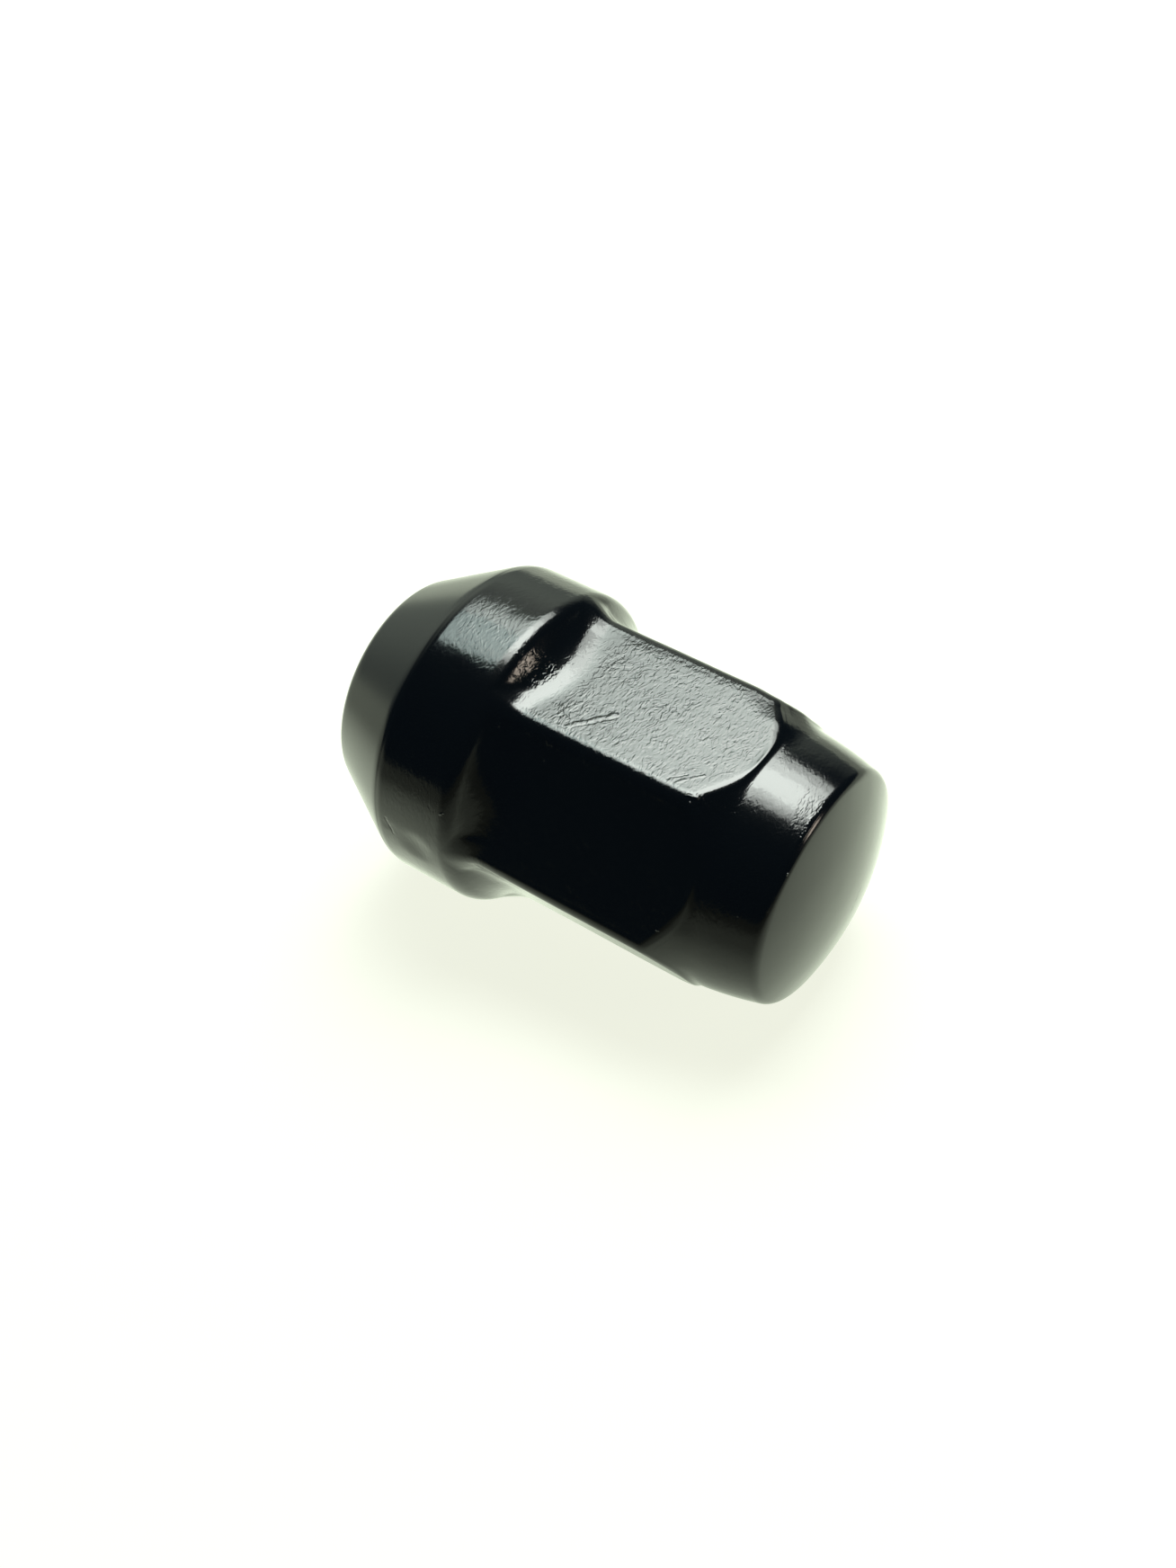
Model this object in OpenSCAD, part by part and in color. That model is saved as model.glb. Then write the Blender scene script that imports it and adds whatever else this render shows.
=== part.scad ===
// Closed wheel nut, forged in one piece: conical seat, bulge collar, hexagon, tapered crown
// with a domed end, and a blind threaded bore. It lies on a hexagon flat and on its collar.

/* [Hexagon] */
// Width across flats
hex_af = 19; // [18:0.1:20.5]
// Rounding along the six corners
corner_round = 0.85; // [0.4:0.05:1.6]

/* [Seat and collar] */
// Full angle of the conical seat
seat_angle = 60; // [50:1:75]
// Outer diameter at the mouth
mouth_d = 16; // [15:0.1:17.5]
// Diameter of the bulge collar
collar_d = 23.4; // [22.6:0.1:25]
// Length of the collar's straight band
collar_band = 5.2; // [3:0.1:8]
// Rounding of the edge between seat and collar
seat_edge_round = 0.7; // [0.3:0.1:1.2]
// Small bevel on the mouth's outer edge
mouth_bevel = 0.3; // [0.1:0.05:0.6]

/* [Scoops behind the collar] */
// Convex rounding of the collar's shoulder
shoulder_round = 1.5; // [0.8:0.1:2.2]
// Concave radius that runs out on the flats
scoop_round = 4.4; // [2:0.1:6]
// Steepest slope of the wall between the two roundings
wall_angle = 50.3; // [40:0.1:56]

/* [Crown] */
// Overall length from mouth to the top of the dome
nut_l = 36.5; // [35:0.1:40]
// Where the crown bevel starts on the hexagon's corners
bevel_z = 27.6; // [26:0.1:28.5]
// Slope of the crown bevel against the axis
bevel_angle = 32; // [26:1:40]
// Diameter where the bevel meets the neck
neck_d = 18.8; // [18:0.1:18.9]
// Slope of the neck against the axis
neck_taper = 10.8; // [6:0.2:14]
// Rounding between neck and domed end
end_round = 0.9; // [0.4:0.1:2]
// Radius of the domed end
dome_r = 21; // [16:0.5:40]

/* [Thread] */
// Nominal thread diameter
thread_d = 12; // [12:0.5:12.5]
// Thread pitch
thread_pitch = 1.5; // [1:0.25:1.75]
// Depth of the threaded bore's full width
bore_depth = 28; // [20:0.5:29]
// Angle of the drill point at the bore's blind end
drill_angle = 118; // [90:1:140]

/* [Hidden] */
$fn = 128;

hex_r = hex_af / 2;
mouth_r = mouth_d / 2;
collar_r = collar_d / 2;
neck_r = neck_d / 2;

// An internal thread is cut from a drilled hole of about its own minor diameter
bore_r = (thread_d - thread_pitch) / 2;
countersink_r = thread_d / 2 + 0.3;

// The scoop's root lies a hair inside the flats, so that it runs out on them at a small angle
root_sink = 0.06;
root_r = hex_r - root_sink;

// Seat and collar along the axis, from the mouth at zero
seat_l = (collar_r - mouth_r) / tan(seat_angle / 2);
shoulder_z = seat_l + collar_band;
seat_edge_z = seat_l + seat_edge_round * tan(seat_angle / 4);

// Centres of the shoulder's and the scoop's roundings, as [radius, height]
shoulder_c = [collar_r - shoulder_round, shoulder_z];
scoop_dr = root_r + scoop_round - shoulder_c.x;
// The wall stays a little flatter than the slope at which the two roundings would touch
wall = min(wall_angle, acos(scoop_dr / (shoulder_round + scoop_round)) - 1);
scoop_dz = (shoulder_round + scoop_round - scoop_dr * cos(wall)) / sin(wall);
scoop_c = [root_r + scoop_round, shoulder_z + scoop_dz];

// Corner radius of the rounded hexagon, and where the bevel reaches the flats' middle and the neck
corner_c = (hex_r - corner_round) / cos(30);
corner_r = corner_c + corner_round;
flat_end_z = bevel_z + (corner_r - hex_r) / tan(bevel_angle);
neck_z = bevel_z + (corner_r - neck_r) / tan(bevel_angle);

// Rounding between neck and dome: its centre is end_round inside the neck's line and the dome
dome_z = nut_l - dome_r;
end_reach = dome_r - end_round;
neck_normal = [cos(neck_taper), sin(neck_taper)];
neck_along = [-sin(neck_taper), cos(neck_taper)];
end_line = [neck_r, neck_z] - end_round * neck_normal - [0, dome_z];
end_b = end_line * neck_along;
end_t = -end_b + sqrt(end_b * end_b - end_line * end_line + end_reach * end_reach);
end_c = [0, dome_z] + end_line + end_t * neck_along;
dome_slope = asin(end_c.x / end_reach);

// Rest: a line touches the shoulder's rounding and the crown-side end of the lower flat
rest_run = flat_end_z - shoulder_z;
rest_drop = shoulder_c.x - hex_r;
rest_lean = atan(rest_drop / rest_run) + asin(shoulder_round / norm([rest_run, rest_drop]));
rest_h = hex_r * cos(rest_lean) + flat_end_z * sin(rest_lean);
mouth_x = -mouth_r * sin(rest_lean);
crown_x = dome_z * cos(rest_lean) + dome_r;

function on_circle(c, r, a) = c + r * [cos(a), sin(a)];

// A disc of a section, at a centre given as [radius, height]
module disc(c, r) {
    translate(c) circle(r);
}

// Half section of seat, collar and scoop
module collar_section() {
    seat_slope = seat_angle / 2;
    seat_edge_c = [collar_r - seat_edge_round, seat_edge_z];
    difference() {
        union() {
            polygon([
                [0, 0],
                [mouth_r - mouth_bevel, 0],
                [mouth_r + mouth_bevel * tan(seat_slope), mouth_bevel],
                on_circle(seat_edge_c, seat_edge_round, -seat_slope),
                [collar_r, seat_edge_z],
                [collar_r, shoulder_z],
                on_circle(shoulder_c, shoulder_round, wall),
                on_circle(scoop_c, -scoop_round, wall),
                [root_r, scoop_c.y],
                [root_r, scoop_c.y + 1],
                [0, scoop_c.y + 1],
            ]);
            disc(seat_edge_c, seat_edge_round);
            disc(shoulder_c, shoulder_round);
        }
        disc(scoop_c, scoop_round);
    }
}

// Half section that trims the hexagon to bevel, neck, rounding and dome
module crown_section() {
    below = 20;
    dome_edge = on_circle([0, dome_z], dome_r, 90 - dome_slope);
    polygon([
        [0, bevel_z - below],
        [corner_r + below * tan(bevel_angle), bevel_z - below],
        [neck_r, neck_z],
        on_circle(end_c, end_round, neck_taper),
        dome_edge,
        [0, dome_edge.y],
    ]);
    disc(end_c, end_round);
    intersection() {
        disc([0, dome_z], dome_r);
        translate([0, dome_edge.y]) square([dome_edge.x, dome_r]);
    }
}

// Hexagon with rounded corners, one flat towards +X
module hexagon() {
    polygon([for (k = [0:5], side = [-1, 1])
        on_circle(on_circle([0, 0], corner_c, 60 * k + 30), corner_round, 60 * k + 30 + side * 30)]);
    for (k = [0:5]) disc(on_circle([0, 0], corner_c, 60 * k + 30), corner_round);
}

// Blind bore with a countersunk mouth and a drill point
module bore() {
    point_l = bore_r / tan(drill_angle / 2);
    sink = countersink_r - bore_r;
    rotate_extrude() polygon([
        [0, -1],
        [countersink_r + 1, -1],
        [bore_r, sink],
        [bore_r, bore_depth],
        [0, bore_depth + point_l],
    ]);
}

// The nut upright: mouth at zero, crown up
module upright_nut() {
    hexagon_z = seat_l;
    difference() {
        union() {
            rotate_extrude() collar_section();
            intersection() {
                translate([0, 0, hexagon_z]) linear_extrude(nut_l) hexagon();
                rotate_extrude() crown_section();
            }
        }
        bore();
    }
}

// The nut as it lies, leaning from its collar down to the crown-side end of the lower flat
module nut_body() {
    color("#181a1b")
        translate([-(mouth_x + crown_x) / 2, 0, rest_h])
            rotate([0, 90 + rest_lean, 0])
                upright_nut();
}

nut_body();
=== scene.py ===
import math

import bpy
import numpy as np
from mathutils import Matrix, Vector, noise


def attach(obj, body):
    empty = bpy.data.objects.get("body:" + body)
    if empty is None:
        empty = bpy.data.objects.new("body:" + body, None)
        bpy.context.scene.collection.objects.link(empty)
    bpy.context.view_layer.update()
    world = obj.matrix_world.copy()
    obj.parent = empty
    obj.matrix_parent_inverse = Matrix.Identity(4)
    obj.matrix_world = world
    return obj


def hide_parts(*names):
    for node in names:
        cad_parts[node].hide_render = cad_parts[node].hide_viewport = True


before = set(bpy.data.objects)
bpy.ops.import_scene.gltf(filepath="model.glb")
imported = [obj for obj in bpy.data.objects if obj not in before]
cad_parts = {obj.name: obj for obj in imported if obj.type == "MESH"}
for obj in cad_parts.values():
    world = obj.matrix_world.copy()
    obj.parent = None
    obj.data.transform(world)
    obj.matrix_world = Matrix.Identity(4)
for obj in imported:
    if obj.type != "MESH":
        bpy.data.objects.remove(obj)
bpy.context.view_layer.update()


# Nut body
# A closed wheel nut, upset and forged in one piece from steel bar, with a machined conical seat
# and a blind tapped bore, under a baked black coat. The section is drawn point by point, spun
# round the axis, and the six flats are then pressed into the blank between scoop and crown.

# Lengths are in mm, slopes in degrees, and a point of the section is (radius, height above the mouth).
MM = 0.001
HEX_R = 9.5                                # half the width across flats
CORNER_ROUND, WORN_ROUND = 0.85, 1.3       # the two corners of the upper flat are rounder
CORNER_R = (HEX_R - CORNER_ROUND) / math.cos(math.radians(30)) + CORNER_ROUND
MOUTH_R, COLLAR_R = 8.0, 11.7
SEAT_START, SEAT_END = (8.30, 0.52), (11.25, 5.631)
SEAT_WAY = (0.5, 0.866)                    # the seat leans out by 30 degrees
BAND_START, SHOULDER = 6.90, 11.6086       # the collar's straight band lies between these heights
SHOULDER_ROUND, SCOOP_ROUND = 1.5, 4.4
SCOOP_CENTRE = (13.84, SHOULDER + 4.6463)
WALL = 50.3                                # slope of the wall between shoulder and scoop
BEVEL_START, BEVEL = 27.6, 32              # the bevel's height on the corners, and its slope
NECK_START, TAPER = (9.4, 29.9015), 10.8
RIM_CENTRE, RIM_ROUND = (7.68831, 34.0715), 0.9
DOME_R, DOME_EDGE = 21.0, 22.4888          # the dome's slope at its edge
NUT_LENGTH = 36.5
BORE_R, THREAD_R, SINK_R = 5.25, 6.0, 6.3
BORE_DEPTH, DRILL_ANGLE = 28.0, 118
THREAD_END, CUT_END = 25.9, 26.7           # the tap's cut runs out between these heights
COLUMNS = 432                              # round the nut, twelve half sectors of 36
CORNER_COLUMNS = 8                         # of each half sector, on the rounded corner


def arc(centre, radius, start, end, count):
    """Points (radius, height) on a circle of the section, angles in degrees from outwards to the crown."""
    return [
        (centre[0] + radius * math.cos(math.radians(a)), centre[1] + radius * math.sin(math.radians(a)))
        for a in np.linspace(start, end, count)
    ]


def run(start, end, count):
    """Points on a straight line of the section, without its ends."""
    s, e = np.array(start), np.array(end)
    return [tuple(s + (e - s) * t) for t in np.linspace(0, 1, count + 2)[1:-1]]


def blend(start, start_way, end, end_way, pull, count):
    """Points on a smooth curve that leaves start along start_way and comes in to end along end_way."""
    p0, p3 = np.array(start), np.array(end)
    p1, p2 = p0 + np.array(start_way) * pull, p3 - np.array(end_way) * pull
    return [
        tuple((1 - t) ** 3 * p0 + 3 * t * (1 - t) ** 2 * p1 + 3 * t * t * (1 - t) * p2 + t ** 3 * p3)
        for t in np.linspace(0, 1, count)
    ]


def inwards(slope):
    """The way along the crown's side where it leans in by a slope, in radians."""
    return -math.sin(slope), math.cos(slope)


def bore_section():
    """The bore from the drill point to the countersink, with close points beside its edges."""
    points = [(0.0, BORE_DEPTH + BORE_R / math.tan(math.radians(DRILL_ANGLE / 2)))]
    points += run(points[-1], (BORE_R, BORE_DEPTH), 2)
    points += [(BORE_R, BORE_DEPTH), (BORE_R, BORE_DEPTH - 0.2)]
    points += [(BORE_R, CUT_END), (THREAD_R, THREAD_END), (THREAD_R, THREAD_END - 0.2)]
    points += run((THREAD_R, THREAD_END - 0.2), (THREAD_R, 0.5), 3)
    points += [(THREAD_R, 0.45), (THREAD_R, 0.3)]
    points += [(SINK_R - 0.05, 0.05), (SINK_R, 0.012), (SINK_R + 0.06, 0.0)]
    return points


def scoop_section(flat_r):
    """Shoulder, wall and scoop as far as the flat, where the scoop runs out softly, and its last point."""
    back = arc((COLLAR_R - SHOULDER_ROUND, SHOULDER), SHOULDER_ROUND, 0, WALL, 60)
    back = np.array(back + arc(SCOOP_CENTRE, -SCOOP_ROUND, WALL, 0, 160))
    length = np.concatenate([[0], np.cumsum(np.hypot(*np.diff(back, axis=0).T))])

    def at(distance):
        return np.interp(distance, length, back[:, 0]), np.interp(distance, length, back[:, 1])

    meet = np.interp(-flat_r, -back[:, 0], length)
    soft = 1.5                             # before and after the place where scoop and flat meet
    along = np.linspace(0, meet - soft, 27)
    points = list(zip(*at(along)))
    little = 0.02
    leave = at(along[-1])
    way = np.subtract(leave, at(along[-1] - little)) / little
    end = (flat_r, at(meet)[1] + soft)
    points += blend(leave, way, end, (0, 1), pull=0.36 * math.dist(leave, end), count=12)[1:]
    return points, end


def crown_section(flat_r, start):
    """The flat from start on, the bevel, the neck, which bulges a little, the rounded rim and the dome."""
    lip = 0.40                             # how far the line between flat and bevel is softened
    bevel, taper = math.radians(BEVEL), math.radians(TAPER)
    bevel_start = BEVEL_START + (CORNER_R - flat_r) / math.tan(bevel)
    points = run(start, (flat_r, bevel_start - lip), 26)
    down = inwards(bevel)
    room = max(0.03, math.dist((flat_r, bevel_start), NECK_START) - 0.05)
    past = min(lip, 0.5 * room)
    after = (flat_r + down[0] * past, bevel_start + down[1] * past)
    points += blend((flat_r, bevel_start - lip), (0, 1), after, down, pull=0.55 * lip, count=8)
    soft = 0.9                             # the same for the line between bevel and neck
    hollow = min(soft, 0.9 * math.dist(after, NECK_START))
    before = (NECK_START[0] - down[0] * hollow, NECK_START[1] - down[1] * hollow)
    points += run(after, before, 8)
    flatter, steeper = 0.055, 0.075        # how the neck's slope changes as it bulges, in radians
    along = inwards(taper - flatter)
    beyond = (NECK_START[0] + along[0] * soft - 0.02, NECK_START[1] + along[1] * soft)
    points += blend(before, down, beyond, along, pull=0.36 * (hollow + soft), count=9)
    last = arc(RIM_CENTRE, RIM_ROUND, TAPER, TAPER, 1)[0]
    closing = inwards(taper + steeper)
    points += blend(beyond, along, last, closing, pull=0.34 * math.dist(beyond, last), count=12)[1:-1]
    points += arc(RIM_CENTRE, RIM_ROUND, TAPER, 90 - DOME_EDGE, 10)
    points += arc((0, NUT_LENGTH - DOME_R), DOME_R, 90 - DOME_EDGE, 90, 20)[1:]
    points[-1] = (0.0, NUT_LENGTH)
    return points


def section(flat_r):
    """The nut's half section where the hexagon stands flat_r from the axis, from drill point to dome."""
    points = bore_section()
    points += run(points[-1], (MOUTH_R - 0.45, 0.0), 1)
    points += blend((MOUTH_R - 0.42, 0.0), (1, 0), SEAT_START, SEAT_WAY, pull=0.30, count=8)
    points += run(SEAT_START, SEAT_END, 9)
    points += blend(SEAT_END, SEAT_WAY, (COLLAR_R, BAND_START), (0, 1), pull=0.46, count=14)
    points += run((COLLAR_R, BAND_START), (COLLAR_R, SHOULDER), 10)
    scoop, end = scoop_section(flat_r)
    return np.array(points + scoop + crown_section(flat_r, end))


def corner_round(angle):
    """The rounding of the hexagon's corner next to an angle round the nut."""
    return WORN_ROUND if 120 < angle % 360 < 240 else CORNER_ROUND


def hexagon_radius(angle):
    """How far the rounded hexagon stands from the axis at an angle, with flats at 0, 60 ... degrees."""
    a = abs((angle + 30) % 60 - 30)
    rounding = corner_round(angle)
    centre = (HEX_R - rounding) / math.cos(math.radians(30))
    off = math.radians(30 - a)
    if centre * math.sin(off) < rounding / 2:
        return centre * math.cos(off) + math.sqrt(rounding ** 2 - (centre * math.sin(off)) ** 2)
    return HEX_R / math.cos(math.radians(a))


def vertex_values(mesh, what):
    """A row of three for each vertex: its place or its normal."""
    values = np.zeros(len(mesh.vertices) * 3)
    mesh.vertices.foreach_get(what, values)
    return values.reshape(-1, 3)


def move_vertices(mesh, places):
    """Puts each vertex where its row says, in metres."""
    mesh.vertices.foreach_set("co", places.ravel())
    mesh.update()


blank = section(CORNER_R)
bpy.ops.object.select_all(action="DESELECT")
bpy.ops.mesh.primitive_plane_add(size=0.001)
body = bpy.context.object
body.name = body.data.name = "nut"
bpy.ops.object.mode_set(mode="EDIT")
bpy.ops.mesh.merge(type="CENTER")
bpy.ops.transform.translate(value=(blank[0][0] * MM, 0, blank[0][1] * MM))
for point, next_point in zip(blank[:-1], blank[1:]):
    move = (next_point - point) * MM
    bpy.ops.mesh.extrude_region_move(TRANSFORM_OT_translate={"value": (move[0], 0, move[1])})
bpy.ops.mesh.select_all(action="SELECT")
bpy.ops.mesh.spin(steps=COLUMNS, angle=2 * math.pi, center=(0, 0, 0), axis=(0, 0, 1))
bpy.ops.mesh.select_all(action="SELECT")
bpy.ops.mesh.remove_doubles(threshold=1e-6)
bpy.ops.mesh.normals_make_consistent(inside=False)
bpy.ops.object.mode_set(mode="OBJECT")

# Pressing the flats: each vertex knows its point of the section and its column. The columns are
# drawn towards the corners, and each takes the section there.
co = vertex_values(body.data, "co") / MM
radius, height = np.hypot(co[:, 0], co[:, 1]), co[:, 2]
ring = np.empty(len(co), int)
SLICE = 4000                               # vertices at a time, to spare memory
for i in range(0, len(co), SLICE):
    gap = (radius[i:i + SLICE, None] - blank[:, 0]) ** 2 + (height[i:i + SLICE, None] - blank[:, 1]) ** 2
    ring[i:i + SLICE] = gap.argmin(1)
column = np.rint(np.degrees(np.arctan2(co[:, 1], co[:, 0])) % 360 / (360 / COLUMNS)).astype(int) % COLUMNS


def slid(c):
    """The angle of column c in degrees, with CORNER_COLUMNS of each half sector on the rounded corner."""
    half = COLUMNS // 12
    sector, step = divmod(c, 2 * half)
    across = step if step <= half else 2 * half - step          # 0 at a flat's middle, half at a corner
    share = 3.0 * corner_round(60 * sector + (15 if step <= half else 45))
    bend = 30 - share
    plain = half - CORNER_COLUMNS
    a = bend * across / plain if across <= plain else bend + share * (across - plain) / CORNER_COLUMNS
    return 60 * sector + (a if step <= half else 60 - a)


angles = np.array([slid(c) for c in range(COLUMNS)])
stands = [round(hexagon_radius(a), 6) for a in angles]
sections = {stand: section(stand) for stand in set(stands)}
shaped = np.array([sections[stand] for stand in stands])[column, ring]
nut_r, nut_z = shaped[:, 0], shaped[:, 1]
bearing = angles[column]                   # the angle round the nut, with the upper flat at 180
turn = np.radians(bearing)
upright = np.column_stack([nut_r * np.cos(turn), nut_r * np.sin(turn), nut_z])
move_vertices(body.data, upright * MM)
bpy.ops.object.shade_smooth()

# Laying the nut down on its lower flat and its collar: where the frame has the mouth's centre.
MOUTH_CENTRE, LEAN = (-17.7088 * MM, 0, 13.0301 * MM), math.radians(6.95227)
lay = Matrix.Translation(MOUTH_CENTRE) @ Matrix.Rotation(math.radians(90) + LEAN, 4, "Y")
body.matrix_world = lay
bpy.ops.object.transform_apply(location=True, rotation=True, scale=True)


def rise(value, low, high):
    """0 below low, 1 above high, with a smooth rise between."""
    t = np.clip((value - low) / (high - low), 0, 1)
    return t * t * (3 - 2 * t)


def off_from(place):
    """How far each vertex is from a place on the upright nut."""
    return np.sqrt(((upright - place) ** 2).sum(1))


# Forging leaves faint waves, dents and one worn edge, all of them below the true form. They lie
# on the outside: what is wider than the countersink, and the dome.
outside = (nut_r > 6.4) | (nut_z > 34.9)
co = vertex_values(body.data, "co")
normals = vertex_values(body.data, "normal")
LONG_WAVE, SHORT_WAVE = 0.016, 0.005
wave = np.array([
    noise.noise(Vector(p / MM * 0.22)) * LONG_WAVE + noise.noise(Vector(p / MM * 0.75 + 7.0)) * SHORT_WAVE
    for p in co
])
WAVE_SINK, SEAT_TURNED = 0.02, 6.3         # the seat below that height is turned, without waves
wave = np.where(outside & (nut_z > SEAT_TURNED), wave - WAVE_SINK, 0)
dents = (                                  # place on the upright nut, radius, depth
    ((0.6, -11.7, 9.7), 1.5, 0.14),
    ((-0.2, -11.7, 7.5), 0.55, 0.04),
    ((-10.4, -5.4, 9.2), 1.4, 0.03),
    ((-9.3, 5.4, 28.0), 2.3, 0.15),
)
for place, width, depth in dents:
    wave -= depth * np.clip(1 - (off_from(place) / width) ** 2, 0, 1) ** 1.5
WORN_EDGE = (-HEX_R, 5.485)                # one edge of the upper flat, above the scoop
WEAR, WEAR_WIDTH, WEAR_SLOPE = 0.031, 1.65, 0.9
edge_off = np.hypot(upright[:, 0] - WORN_EDGE[0], upright[:, 1] - WORN_EDGE[1])
worn = np.clip((WEAR_WIDTH - edge_off) / WEAR_SLOPE, 0, 1)
wave -= np.where(outside, WEAR * worn ** 2 * rise(nut_z, 15, 17), 0)
move_vertices(body.data, co + normals * (wave * MM)[:, None])

# Where the coat lies wrinkled: most on the flats, less on collar and neck, hardly on seat and dome.
from_flat = (bearing + 30) % 60 - 30
across = np.abs(nut_r * np.sin(np.radians(from_flat)))
by_height = (
    (6.4, 0.02), (7.2, 0.25), (8.0, 0.45), (11.6, 0.45),          # seat's edge and collar
    (12.2, 0.3), (13.2, 0.3), (14.6, 0.5), (15.8, 0.35),          # slot behind the collar
    (17.0, 1.0), (30.2, 1.0),                                     # flats
    (30.6, 0.22), (33.4, 0.22), (34.2, 0.25), (34.9, 0.02),       # neck, rim and dome
)
wrinkle = np.interp(nut_z, *zip(*by_height))

# The flats end in an arc at the bevel. The wrinkles fade just inside their edges, but not at the
# worn edge of the upper one.
arch = BEVEL_START + (CORNER_R - np.hypot(HEX_R, across)) / math.tan(math.radians(BEVEL)) - nut_z
on_flat = (nut_z > 16.0) & (arch > -0.6) & outside
upper = on_flat & (np.abs(bearing - 180) < 34)
half_width = np.where(upper & (from_flat < 0), 5.4, 4.85)
edge = np.minimum(arch - 0.15, half_width - across)
wrinkle = np.where(on_flat, wrinkle * (0.12 + 0.88 * rise(edge, 0.0, 0.45)), wrinkle)
wrinkle = np.where(~on_flat & (nut_z > 26) & (nut_z < 30.6), 0.25, wrinkle)

# Two rough places: one in the slot behind the collar, one where it runs out on the upper flat.
wrinkle += 1.5 * (1 - rise(off_from((-10.4, -1.85, 13.3)), 0.6, 1.9))
wrinkle += 0.8 * (1 - rise(off_from((-9.5, -3.5, 16.9)), 0.5, 1.6))

# The upper flat is smoother towards the crown, the next one is smooth, and their corner is rough.
wrinkle = np.where(upper, wrinkle * np.interp(nut_z, [17, 22, 29], [1.1, 0.95, 0.8]), wrinkle)
wrinkle = np.where(on_flat & (bearing > 210) & (bearing < 270), 0.45 * wrinkle, wrinkle)
wrinkle = np.where((np.abs(bearing - 210) < 4.5) & (nut_z > 14) & (nut_z < 28.6), 0.85, wrinkle)

# The neck is rough on both sides of its smooth lit middle, and so is a part of the rim.
on_neck = (nut_z > 28.6) & (nut_z < 33.6) & ~on_flat
by_bearing = ((150, 0), (165, 0.4), (178, 0.4), (187, 0), (195, 0), (206, 0.5), (240, 0.5), (260, 0))
beside = np.interp(bearing, *zip(*by_bearing))
wrinkle = np.where(on_neck, wrinkle + (0.7 + 0.6 * (1 - rise(nut_z, 30.2, 31.6))) * beside, wrinkle)
on_rim = (nut_z > 33.2) & (nut_z < 34.6)
wrinkle = np.where(on_rim & (bearing > 184) & (bearing < 236), 0.6, wrinkle)

# Seat and dome are a little duller than the rest.
satin = np.where(nut_z < 9, 1 - rise(nut_z, 6.3, 7.0), rise(nut_z, 34.7, 35.1))
for name, values in (("wrinkle", np.where(outside, wrinkle, 0)), ("satin", satin)):
    held = body.data.attributes.new(name, "FLOAT", "POINT")
    held.data.foreach_set("value", values.astype(np.float32))


def plug(tree, socket, value):
    """Links another node's output into the socket, or sets the socket to a plain value."""
    if isinstance(value, bpy.types.NodeSocket):
        tree.links.new(value, socket)
    else:
        socket.default_value = value


def put(tree, kind, **sockets):
    """A new node of that kind, with its inputs plugged in by name, or by number as i0, i1 ..."""
    node = tree.nodes.new("ShaderNode" + kind)
    for name, value in sockets.items():
        plug(tree, node.inputs[int(name[1:]) if name[1:].isdigit() else name.replace("_", " ")], value)
    return node


def maths(tree, what, *values):
    """The result of a sum on numbers."""
    node = put(tree, "Math", **dict(zip(("i0", "i1"), values)))
    node.operation = what
    return node.outputs[0]


def vectors(tree, what, *values):
    """The result of a sum on vectors, which is a number for DOT_PRODUCT and LENGTH."""
    inputs = ("i0", "i3") if what == "SCALE" else ("i0", "i1")
    node = put(tree, "VectorMath", **dict(zip(inputs, values)))
    node.operation = what
    return node.outputs["Value" if what in ("DOT_PRODUCT", "LENGTH") else "Vector"]


def weighed(tree, first, first_share, second, second_share):
    """Two numbers added up, each times its share."""
    first_part = maths(tree, "MULTIPLY", first, first_share)
    return maths(tree, "ADD", first_part, maths(tree, "MULTIPLY", second, second_share))


def spread(tree, value, start, end, low=0.0, high=1.0, kind="LINEAR"):
    """A number that goes from low to high while the value goes from start to end."""
    node = put(tree, "MapRange", Value=value, From_Min=start, From_Max=end, To_Min=low, To_Max=high)
    node.interpolation_type = kind
    return node.outputs[0]


def speckle(tree, place, scale, detail, **more):
    """Soft noise at a place."""
    return put(tree, "TexNoise", Vector=place, Scale=scale, Detail=detail, **more)


def new_group(name, **inputs):
    """A node group with those inputs that gives a height, and the nodes of its inputs and output."""
    group = bpy.data.node_groups.new(name, "ShaderNodeTree")
    for socket, kind in inputs.items():
        group.interface.new_socket(socket, in_out="INPUT", socket_type="NodeSocket" + kind)
    group.interface.new_socket("Height", in_out="OUTPUT", socket_type="NodeSocketFloat")
    return group, group.nodes.new("NodeGroupInput"), group.nodes.new("NodeGroupOutput")


def use_group(tree, group, **sockets):
    """The height that a group gives with those inputs."""
    node = tree.nodes.new("ShaderNodeGroup")
    node.node_tree = group
    for name, value in sockets.items():
        plug(tree, node.inputs[name], value)
    return node.outputs["Height"]


def held_value(tree, name):
    """The value that the mesh holds under that name."""
    node = tree.nodes.new("ShaderNodeAttribute")
    node.attribute_name = name
    return node.outputs["Fac"]


# Crinkles: short strokes that run round the nut, crossing at small angles, as a paint film shrinks.
crinkle, inlet, outlet = new_group("crinkled_skin", Place="Vector", Amount="Float")
drift = speckle(crinkle, inlet.outputs["Place"], 0.75, 1.0)
shift = vectors(crinkle, "SUBTRACT", drift.outputs["Color"], (0.5, 0.5, 0.5))
layers = []
for tilt, offset, stretch, scale in ((1.5, 0.0, 2.5, 1.75), (-1.4, 31.0, 2.1, 2.1)):
    sway = vectors(crinkle, "MULTIPLY", shift, (0.3, 0.3, tilt))
    warped = vectors(crinkle, "ADD", inlet.outputs["Place"], sway)
    long_way = put(crinkle, "Mapping", Vector=warped, Location=(offset, 0, 0), Scale=(1, 1, stretch))
    strokes = speckle(crinkle, long_way.outputs[0], scale, 1.0, Roughness=0.55)
    layers.append(spread(crinkle, strokes.outputs["Fac"], 0.46, 0.66, kind="SMOOTHSTEP"))
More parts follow.
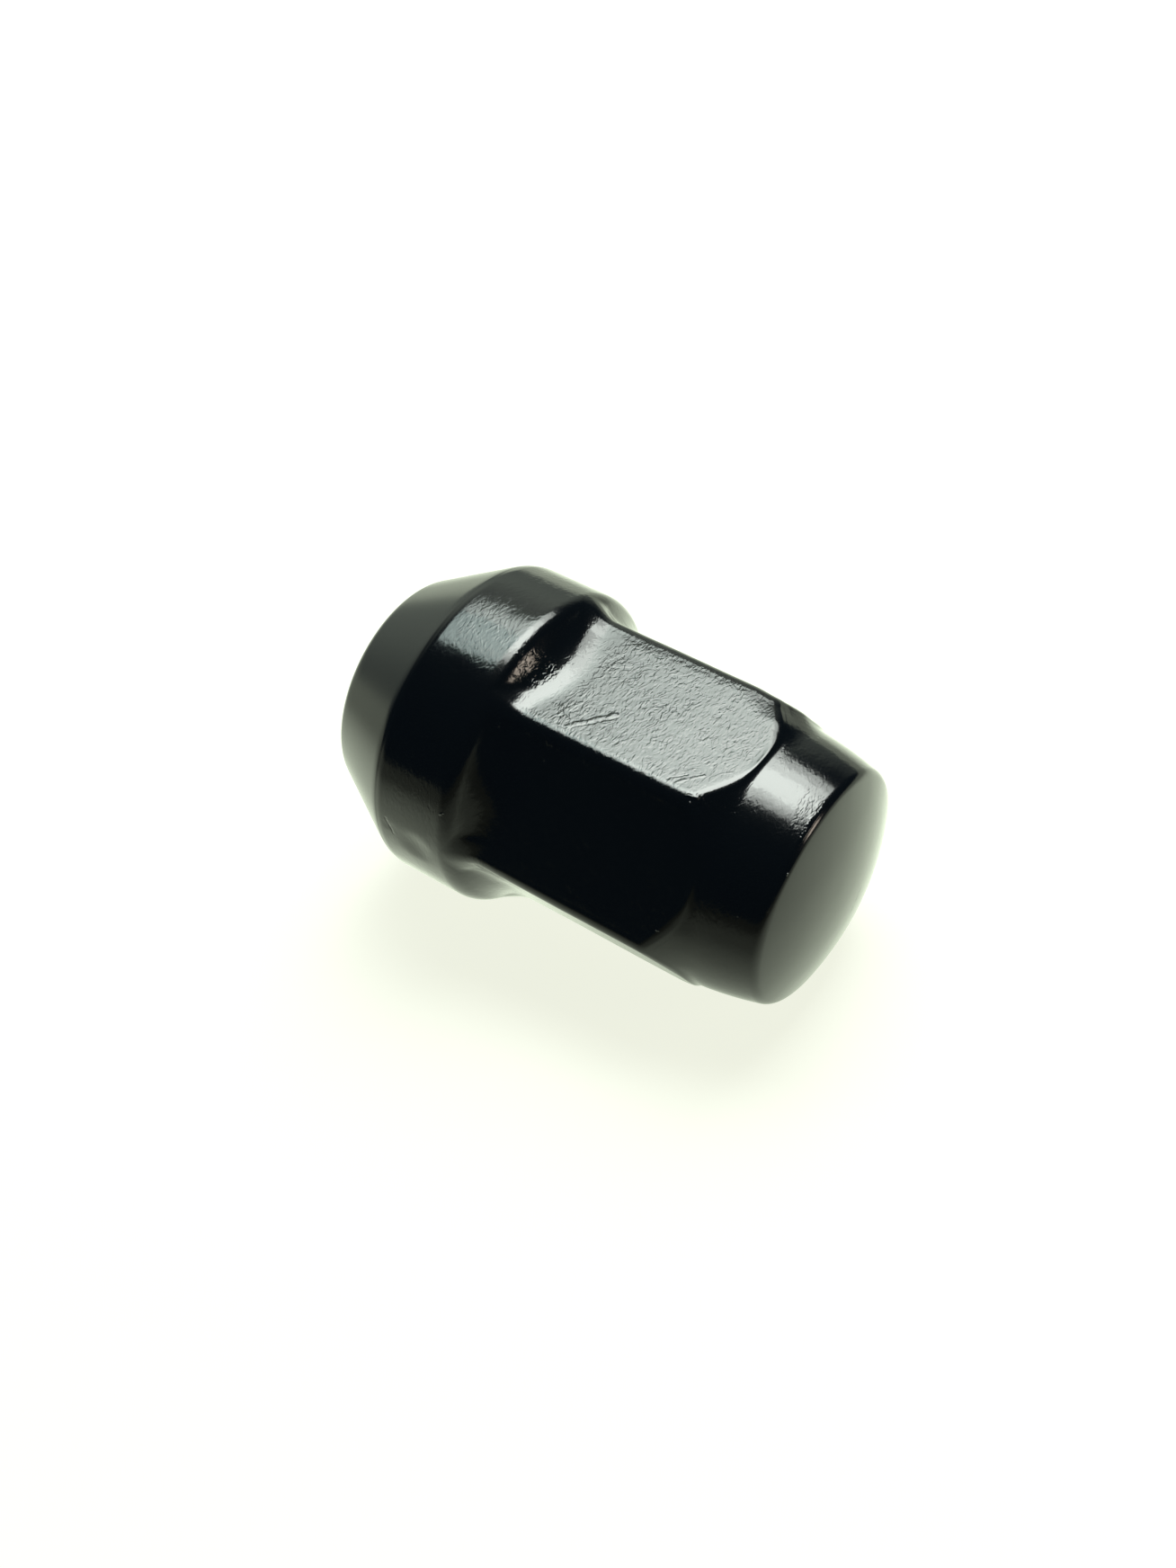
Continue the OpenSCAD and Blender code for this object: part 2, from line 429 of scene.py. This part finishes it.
patches = speckle(crinkle, inlet.outputs["Place"], 0.8, 2.0)
broken = spread(crinkle, patches.outputs["Fac"], 0.34, 0.6, low=0.45)
crossed = maths(crinkle, "SUBTRACT", layers[0], maths(crinkle, "MULTIPLY", layers[1], 0.8))
raised = maths(crinkle, "MULTIPLY", crossed, broken)

# Low lumps lie under the strokes. A fine orange peel and a few flecks of dirt lie wherever the
# coat is not quite smooth.
lumps = speckle(crinkle, inlet.outputs["Place"], 0.9, 2.0)
uneven = weighed(crinkle, raised, 0.0085, lumps.outputs["Fac"], 0.02)
peel = speckle(crinkle, inlet.outputs["Place"], 2.1, 2.0)
flecks = put(crinkle, "TexVoronoi", Vector=inlet.outputs["Place"], Scale=0.8)
fleck = spread(crinkle, flecks.outputs["Distance"], 0.055, 0.0, kind="SMOOTHSTEP")
few = maths(crinkle, "MULTIPLY", fleck, maths(crinkle, "GREATER_THAN", flecks.outputs["Color"], 0.58))
film = weighed(crinkle, peel.outputs["Fac"], 0.005, few, 0.028)
thin = maths(crinkle, "MINIMUM", maths(crinkle, "MULTIPLY", inlet.outputs["Amount"], 4.0), 1.0)
total = weighed(crinkle, uneven, inlet.outputs["Amount"], film, thin)
crinkle.links.new(total, outlet.inputs["Height"])

# Scar: a ridge or a groove along a short line, highest on the line and gone at its width.
scar, inlet, outlet = new_group(
    "scar", Place="Vector", Start="Vector", Way="Vector", Width="Float", Rise="Float"
)
from_start = vectors(scar, "SUBTRACT", inlet.outputs["Place"], inlet.outputs["Start"])
along_it = vectors(scar, "DOT_PRODUCT", from_start, inlet.outputs["Way"])
part_way = maths(
    scar, "DIVIDE", along_it, vectors(scar, "DOT_PRODUCT", inlet.outputs["Way"], inlet.outputs["Way"])
)
part_way = maths(scar, "MINIMUM", maths(scar, "MAXIMUM", part_way, 0.0), 1.0)
foot = vectors(scar, "SCALE", inlet.outputs["Way"], part_way)
off_line = vectors(scar, "SUBTRACT", from_start, foot)
hump = spread(scar, vectors(scar, "LENGTH", off_line), inlet.outputs["Width"], 0.0, kind="SMOOTHERSTEP")
scar.links.new(maths(scar, "MULTIPLY", hump, inlet.outputs["Rise"]), outlet.inputs["Height"])

# The black coat, in mm on the upright nut. Its scars are given as start, end, width and rise.
coat = bpy.data.materials.new("black_coat")
coat.use_nodes = True
tree = coat.node_tree
METRE = 1 / MM
undo = lay.inverted()
stood_up = put(
    tree, "Mapping", Vector=put(tree, "TexCoord").outputs["Object"],
    Location=undo.translation * METRE, Rotation=undo.to_euler(), Scale=(METRE, METRE, METRE),
).outputs[0]
relief = use_group(tree, crinkle, Place=stood_up, Amount=held_value(tree, "wrinkle"))
wander = speckle(tree, stood_up, 2.4, 2.0)
uneasy = vectors(tree, "SUBTRACT", wander.outputs["Color"], (0.5, 0.5, 0.5))
crooked = vectors(tree, "ADD", stood_up, vectors(tree, "SCALE", uneasy, 0.30))
scars = (
    # A forging lap and a scrape on the upper flat, and a burr at its end.
    ((-9.48, -4.4, 17.75), (-9.48, -1.9, 19.75), 0.30, 0.022),
    ((-9.48, -4.3, 18.05), (-9.48, -2.1, 20.00), 0.14, -0.012),
    ((-9.45, -4.7, 25.6), (-9.45, -3.7, 26.5), 0.12, -0.014),
    ((-9.45, -4.6, 26.3), (-9.45, -3.2, 27.4), 0.16, 0.012),
    ((-9.40, -5.1, 27.3), (-9.35, -4.9, 28.0), 0.22, 0.060),
    # A scratch on the dome and a nick in the collar.
    ((0.51, 1.86, 36.4), (1.98, 0.81, 36.38), 0.08, -0.030),
    ((-0.79, -11.66, 7.25), (0.40, -11.68, 7.80), 0.20, -0.022),
    # Specks on the shoulder, the rim and the bevel.
    ((-3.50, -11.10, 11.85), (-3.65, -11.00, 12.05), 0.10, 0.040),
    ((-6.55, -5.12, 34.68), (-6.60, -5.07, 34.70), 0.10, 0.040),
    ((-1.71, -9.96, 28.35), (-1.75, -9.94, 28.45), 0.12, 0.040),
    # Chips in a row along the rim.
    ((-8.50, -0.10, 34.22), (-8.40, -1.05, 34.30), 0.12, -0.030),
    ((-8.35, -1.35, 34.28), (-8.20, -2.10, 34.30), 0.14, 0.025),
    ((-8.10, -2.35, 34.30), (-7.90, -2.90, 34.30), 0.16, -0.025),
)
for start, end, width, rise_by in scars:
    way = [b - a for a, b in zip(start, end)]
    mark = use_group(tree, scar, Place=crooked, Start=start, Way=way, Width=width, Rise=rise_by)
    relief = maths(tree, "ADD", relief, mark)
shader = tree.nodes["Principled BSDF"]
bump = put(tree, "Bump", Height=relief, Strength=1.0, Distance=MM)
tree.links.new(bump.outputs[0], shader.inputs["Normal"])
dull = spread(tree, held_value(tree, "satin"), 0.0, 1.0, 0.14, 0.20)
tree.links.new(dull, shader.inputs["Roughness"])
shader.inputs["Base Color"].default_value = (0.0016, 0.0022, 0.0030, 1)
shader.inputs["IOR"].default_value = 1.9    # one strong gloss layer stands for paint and clear coat
body.data.materials.append(coat)


# Thread
# The tapped metric fine thread, cut after forging: one ridge that winds down the bore, trimmed by
# the countersink at the mouth and running out above the drill point. Bare steel, a little oily.
PITCH, TURNS = 1.5, 18
LEAD_IN = 0.45                             # the ridge starts this far before the mouth
SKIM = 0.03                                # and stays this far behind the countersink and the mouth
ridge = [
    (6.08, -0.70), (6.0, -0.656), (5.30, -0.25), (5.25, -0.19),
    (5.25, 0.19), (5.30, 0.25), (6.0, 0.656), (6.08, 0.70),
]
bpy.ops.object.select_all(action="DESELECT")
bpy.ops.mesh.primitive_plane_add(size=0.001)
thread = bpy.context.object
thread.name = thread.data.name = "thread"
bpy.ops.object.mode_set(mode="EDIT")
bpy.ops.mesh.merge(type="CENTER")
bpy.ops.transform.translate(value=(ridge[0][0] * MM, 0, (ridge[0][1] - LEAD_IN) * MM))
for start, end in zip(ridge[:-1], ridge[1:]):
    bpy.ops.mesh.extrude_region_move(
        TRANSFORM_OT_translate={"value": ((end[0] - start[0]) * MM, 0, (end[1] - start[1]) * MM)}
    )
bpy.ops.mesh.select_all(action="SELECT")
bpy.ops.mesh.edge_face_add()
bpy.ops.object.mode_set(mode="OBJECT")
wind = thread.modifiers.new("wind", "SCREW")
wind.axis, wind.angle, wind.screw_offset = "Z", 2 * math.pi, PITCH * MM
wind.iterations, wind.steps, wind.render_steps = TURNS, 64, 64
wind.use_merge_vertices = True
bpy.ops.object.modifier_apply(modifier="wind")
for v in thread.data.vertices:
    r, z = math.hypot(v.co.x, v.co.y) / MM, max(v.co.z / MM, SKIM)
    cut = max(r, SINK_R + SKIM - z)
    v.co = (v.co.x * cut / r, v.co.y * cut / r, z * MM)
bpy.ops.object.mode_set(mode="EDIT")
bpy.ops.mesh.select_all(action="SELECT")
bpy.ops.mesh.normals_make_consistent(inside=False)
bpy.ops.object.mode_set(mode="OBJECT")
bpy.ops.object.shade_smooth_by_angle(angle=math.radians(30))
thread.matrix_world = lay
bpy.ops.object.transform_apply(location=True, rotation=True, scale=True)

steel = bpy.data.materials.new("tapped_steel")
steel.use_nodes = True
cut_steel = steel.node_tree.nodes["Principled BSDF"]
cut_steel.inputs["Base Color"].default_value = (0.12, 0.118, 0.112, 1)
cut_steel.inputs["Metallic"].default_value = 1.0
cut_steel.inputs["Roughness"].default_value = 0.36
thread.data.materials.append(steel)

# The bore's own wall is bare steel as well, inside this radius and below this height.
body.data.materials.append(steel)
TAPPED_R, TAPPED_TOP = 6.2, 31.3
inner = np.array([
    all(nut_r[v] < TAPPED_R and nut_z[v] < TAPPED_TOP for v in face.vertices)
    for face in body.data.polygons
])
body.data.polygons.foreach_set("material_index", inner.astype(np.int32))

bpy.ops.object.select_all(action="DESELECT")
thread.select_set(True)
body.select_set(True)
bpy.context.view_layer.objects.active = body
bpy.ops.object.join()
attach(body, "root")
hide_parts("nut_body")


# Table
# A plain white table under the nut. The camera sees it glow by itself, greenish grey near the nut as a
# painted shade, with a faint real shadow. The coat mirrors another glow of painted light and shade:
# brighter beside the nut on the side away from the camera, dimmer towards the camera and further off.
bpy.ops.mesh.primitive_plane_add(size=4)
table_top = bpy.context.object
table_top.name = "table_top"
paper = bpy.data.materials.new("white_paper_painted_glow")
paper.use_nodes = True
tree = paper.node_tree
white = tree.nodes["Principled BSDF"]
white.inputs["Roughness"].default_value = 0.9
white.inputs["Specular IOR Level"].default_value = 0.0
white.inputs["Base Color"].default_value = (0.72, 0.76, 0.68, 1)
place = put(tree, "TexCoord").outputs["Object"]
far_off = vectors(tree, "LENGTH", place)   # in metres from the nut's middle


def lies_towards(way):
    """1 where the table lies that way from the nut, -1 on the other side, and 0 under the nut."""
    that_way = vectors(tree, "DOT_PRODUCT", place, way)
    return maths(tree, "DIVIDE", that_way, maths(tree, "ADD", far_off, 0.006))


# Painted light and shade seen only in the coat's reflections. The glow is brighter on the softbox side of
# the nut and brightest just beside it. It is dimmer towards the camera and further off, with a painted
# glow far to the left.
LAMP_SIDE, LEFT_SIDE = (-0.34, 0.94, 0.0), (-0.80, 0.60, 0.0)
painted_light_by_side = spread(tree, lies_towards(LAMP_SIDE), -0.85, 0.55, 0.18, 1.7)
painted_falloff = spread(tree, far_off, 0.028, 0.11, 1.0, 0.30, kind="SMOOTHSTEP")
painted_pool_close_by = spread(tree, far_off, 0.018, 0.034, 1.45, 1.0)
painted_table_light = maths(tree, "MULTIPLY", painted_light_by_side, maths(tree, "MULTIPLY", painted_falloff, painted_pool_close_by))
painted_left_glow = spread(tree, lies_towards(LEFT_SIDE), 0.6, 0.98, 0.0, 0.55)
painted_far_left_glow = maths(tree, "MULTIPLY", painted_left_glow, spread(tree, far_off, 0.05, 0.12))
painted_mirror_light = maths(tree, "ADD", painted_table_light, painted_far_left_glow)
painted_reflection_glow = put(tree, "Emission", Color=(0.90, 1.0, 0.79, 1), Strength=painted_mirror_light)
# Painted shade for the camera: the glow is greenish grey near the nut and white further off. The faint
# real shadow of the dim diffuse share therefore shows only close to the nut, in that greenish grey.
painted_shade_tint_to_white = put(tree, "Mix", i0=spread(tree, far_off, 0.07, 0.25, kind="SMOOTHSTEP"))
painted_shade_tint_to_white.data_type = "RGBA"
painted_shade_tint_to_white.inputs[6].default_value = (0.84, 0.86, 0.74, 1)
painted_shade_tint_to_white.inputs[7].default_value = (1, 1, 1, 1)
glow = put(tree, "Emission", Color=painted_shade_tint_to_white.outputs[2])
plain = put(tree, "BsdfDiffuse", Color=(0.95, 0.95, 0.95, 1))
faint = put(tree, "MixShader", i0=0.34, i2=plain.outputs[0])
soft = put(tree, "AddShader", i0=glow.outputs[0], i1=faint.outputs[0])
rays = put(tree, "LightPath").outputs
other = put(tree, "MixShader", i0=rays["Is Glossy Ray"], i1=white.outputs[0], i2=painted_reflection_glow.outputs[0])
seen = put(tree, "MixShader", i0=rays["Is Camera Ray"], i1=other.outputs[0], i2=soft.outputs[0])
tree.links.new(seen.outputs[0], tree.nodes["Material Output"].inputs["Surface"])
table_top.data.materials.append(paper)


# Lamps
# A softbox hangs over the nut and behind it, brightest in its middle, with a dimmer border and
# flank on its left. Lengths are in metres.
HANG, NUT_MIDDLE = 0.5, 0.013


def softbox(name, left, right, near, far, radiance, tint):
    """A lamp whose edges are given as slopes, sideways or away over up, as the nut sees them."""
    up = HANG - NUT_MIDDLE
    bpy.ops.object.light_add(
        type="AREA", location=((left + right) / 2 * up, (near + far) / 2 * up, HANG), rotation=(0, 0, 0)
    )
    lamp = bpy.context.object
    lamp.name = name
    lamp.data.shape = "RECTANGLE"
    lamp.data.size, lamp.data.size_y = (right - left) * up, (far - near) * up
    lamp.data.energy = radiance * math.pi * lamp.data.size * lamp.data.size_y
    lamp.data.color = tint


WHITE, MILKY, PALE = (0.94, 1.0, 0.94), (0.90, 1.0, 0.93), (0.81, 1.0, 0.94)
for name, left, right, near, far, radiance, tint in (
    ("softbox_edge", -0.27, 0.30, 0.03, 0.12, 3.0, WHITE),
    ("softbox_near", -0.27, 0.30, 0.12, 0.22, 5.0, WHITE),
    ("softbox_middle", -0.27, 0.30, 0.22, 0.64, 7.9, WHITE),
    ("softbox_upper", -0.27, 0.30, 0.64, 0.92, 6.0, WHITE),
    ("softbox_far", -0.27, 0.30, 0.92, 1.28, 3.4, WHITE),
    ("border_near", -0.37, -0.27, 0.03, 0.22, 4.0, MILKY),
    ("border_middle", -0.37, -0.27, 0.22, 0.64, 6.4, MILKY),
    ("border_upper", -0.37, -0.27, 0.64, 0.92, 5.0, MILKY),
    ("border_far", -0.37, -0.27, 0.92, 1.26, 2.9, MILKY),
    ("inner_flank_near", -0.45, -0.37, 0.0, 0.5, 3.5, PALE),
    ("inner_flank_far", -0.45, -0.37, 0.5, 1.08, 4.3, MILKY),
    ("flank_near", -0.56, -0.45, 0.0, 0.5, 2.8, PALE),
    ("flank_far", -0.56, -0.45, 0.5, 0.92, 3.8, MILKY),
):
    softbox(name, left, right, near, far, radiance, tint)


# Room
# Dark where the camera stands, with a pale wall to the left, brighter towards the ceiling, and a
# small warm patch that the coat mirrors behind the collar. To the camera itself it is white.
world = bpy.data.worlds.new("room")
bpy.context.scene.world = world
world.use_nodes = True
tree = world.node_tree
where = put(tree, "TexCoord").outputs["Generated"]
left_wall = vectors(tree, "DOT_PRODUCT", where, (-0.77, 0.64, 0.0))
wall = spread(tree, left_wall, 0.52, 0.95, 0.0, 0.54, kind="SMOOTHSTEP")
upwards = put(tree, "SeparateXYZ", Vector=where).outputs["Z"]
higher = spread(tree, upwards, 0.02, 0.42, low=0.55, kind="SMOOTHSTEP")
tinted = vectors(tree, "SCALE", (0.89, 1.0, 0.82), maths(tree, "MULTIPLY", wall, higher))
dusk = vectors(tree, "ADD", tinted, (0.014, 0.024, 0.034))
warm_side = vectors(tree, "DOT_PRODUCT", where, (0.904, 0.276, 0.326))
warm = spread(tree, warm_side, 0.985, 0.998, 0.0, 3.4, kind="SMOOTHSTEP")
both = vectors(tree, "ADD", dusk, vectors(tree, "SCALE", (1.0, 0.86, 0.71), warm))
room = vectors(tree, "MAXIMUM", both, put(tree, "LightPath").outputs["Is Camera Ray"])
tree.links.new(room, tree.nodes["Background"].inputs["Color"])


# Camera
# It looks down on the nut from the side of its dome, at the place and with the lens that were
# fitted to the outline in the photograph.
bpy.ops.object.camera_add(
    location=(0.06395, -0.07030, 0.09977),
    rotation=(math.radians(46.542), math.radians(7.811), math.radians(35.957)),
)
camera = bpy.context.object
camera.data.lens = 43.314
camera.data.sensor_width = 36
camera.data.clip_start = 0.005
bpy.context.scene.camera = camera
bpy.context.scene.view_settings.view_transform = "Standard"
